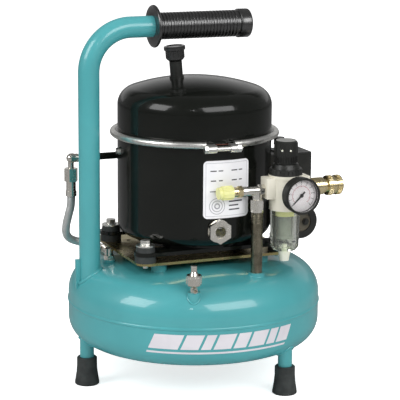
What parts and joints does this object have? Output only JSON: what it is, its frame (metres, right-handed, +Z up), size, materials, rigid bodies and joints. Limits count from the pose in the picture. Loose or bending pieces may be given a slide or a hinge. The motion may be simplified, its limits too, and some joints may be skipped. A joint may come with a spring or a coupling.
{
  "type": "airbrush compressor",
  "caption": "Quiet piston compressor on a round pancake air tank with tripod legs, carrying handle, filter regulator with gauge, quick coupler and braided discharge hose.",
  "frame": {"origin": "centre of the tank's axis at floor level", "axes": "+X along the carrying handle, -Y to the front where the gauge faces, +Z up"},
  "size_m": [0.292, 0.292, 0.431],
  "materials": {
    "teal_enamel": "gloss",
    "black_rubber": "matt",
    "yellow_zinc": "satin",
    "bright_zinc": "bright",
    "black_enamel": "gloss",
    "joint_rubber": "matt",
    "nickel": "satin",
    "brass": "polished",
    "label_film": "satin",
    "sight_glass": "clear",
    "electrical_steel": "matt",
    "copper_winding": "gloss",
    "spring_steel": "bright",
    "cast_iron": "matt",
    "machined_steel": "machined",
    "black_plastic": "satin",
    "ivory_plastic": "satin",
    "yellow_plastic": "gloss",
    "white_plastic": "satin",
    "clear_bowl": "clear",
    "sintered_filter": "matt",
    "steel_braid": "woven",
    "dial_white": "matt",
    "needle_black": "matt"
  },
  "bodies": {
    "frame": {"tank_upper_shell": "teal_enamel", "tank_lower_shell": "teal_enamel", "tank_legs": "teal_enamel", "rubber_feet": "black_rubber", "weld_bosses": "teal_enamel", "handle_tube": "teal_enamel", "handle_grip": "black_rubber", "base_plate": "yellow_zinc", "vibration_mounts": "black_rubber", "mount_bolts": "bright_zinc", "mount_washers": "bright_zinc", "foot_strips": "black_enamel", "shell_pot": "black_enamel", "shell_lid": "black_enamel", "shell_gasket": "joint_rubber", "clamp_ring": "bright_zinc", "clamp_bolt": "bright_zinc", "clamp_nut": "bright_zinc", "intake_neck": "black_plastic", "intake_filter": "black_plastic", "rating_label": "label_film", "sight_glass_nut": "nickel", "sight_glass_window": "sight_glass", "earth_screw": "bright_zinc", "stator_core": "electrical_steel", "stator_windings": "copper_winding", "suspension_springs": "spring_steel", "crankcase": "cast_iron", "valve_plate": "machined_steel", "cylinder_head": "cast_iron", "switch_box": "black_plastic", "start_capacitor": "black_plastic", "discharge_tube": "black_enamel", "elbow_fittings": "nickel", "hose_fittings": "nickel", "hose": "steel_braid", "riser_pipe": "nickel", "riser_nut": "nickel", "outlet_tee": "nickel", "safety_valve": "brass", "regulator_body": "ivory_plastic", "regulator_bonnet": "black_plastic", "filter_element": "sintered_filter", "filter_bowl": "clear_bowl", "gauge_case": "black_plastic", "gauge_dial": "dial_white", "coupler_body": "brass", "drain_valve": "nickel"},
    "crank": {"crankshaft": "machined_steel", "rotor": "electrical_steel"},
    "piston": {"piston": "machined_steel", "connecting_rod": "machined_steel"},
    "adjuster": {"adjusting_screw": "machined_steel"},
    "knob": {"regulator_knob": "black_plastic"},
    "needle": {"gauge_needle": "needle_black"},
    "bowl_drain": {"bowl_drain": "white_plastic"},
    "valve_cap": {"safety_valve_cap": "yellow_plastic"},
    "sleeve": {"coupler_sleeve": "brass"},
    "switch": {"switch_knob": "black_plastic"},
    "drain_knob": {"drain_valve_knob": "nickel"}
  },
  "joints": [
    {"name": "crank_spin", "type": "hinge", "parent": "frame", "child": "crank", "pos_m": [0, 0, 0.2], "axis": [0, 0, 1], "continuous": true},
    {"name": "piston_stroke", "type": "slide", "parent": "frame", "child": "piston", "axis": [1, 0, 0], "range_m": [-0.014, 0]},
    {"name": "pressure_adjust", "type": "hinge", "parent": "frame", "child": "adjuster", "pos_m": [0.0695, -0.098, 0.26], "axis": [0, 0, 1], "range_deg": [-1260, 0]},
    {"name": "knob_lift", "type": "slide", "parent": "adjuster", "child": "knob", "axis": [0, 0, 1], "range_m": [0, 0.003]},
    {"name": "needle_turn", "type": "hinge", "parent": "frame", "child": "needle", "pos_m": [0.0695, -0.136, 0.2324], "axis": [0, 1, 0], "range_deg": [0, 270]},
    {"name": "bowl_drain_turn", "type": "hinge", "parent": "frame", "child": "bowl_drain", "pos_m": [0.0695, -0.098, 0.155], "axis": [0, 0, 1], "range_deg": [0, 90]},
    {"name": "safety_valve_pull", "type": "slide", "parent": "frame", "child": "valve_cap", "axis": [-1, 0, 0], "range_m": [0, 0.002], "stiffness_N_per_m": 1500},
    {"name": "sleeve_slide", "type": "slide", "parent": "frame", "child": "sleeve", "axis": [-1, 0, 0], "range_m": [0, 0.004], "stiffness_N_per_m": 1500},
    {"name": "switch_pull", "type": "slide", "parent": "frame", "child": "switch", "axis": [0, 0, 1], "range_m": [0, 0.005]},
    {"name": "drain_turn", "type": "hinge", "parent": "frame", "child": "drain_knob", "pos_m": [-0.05, -0.123, 0.145], "axis": [0, 0, 1], "range_deg": [0, 360]}
  ]
}
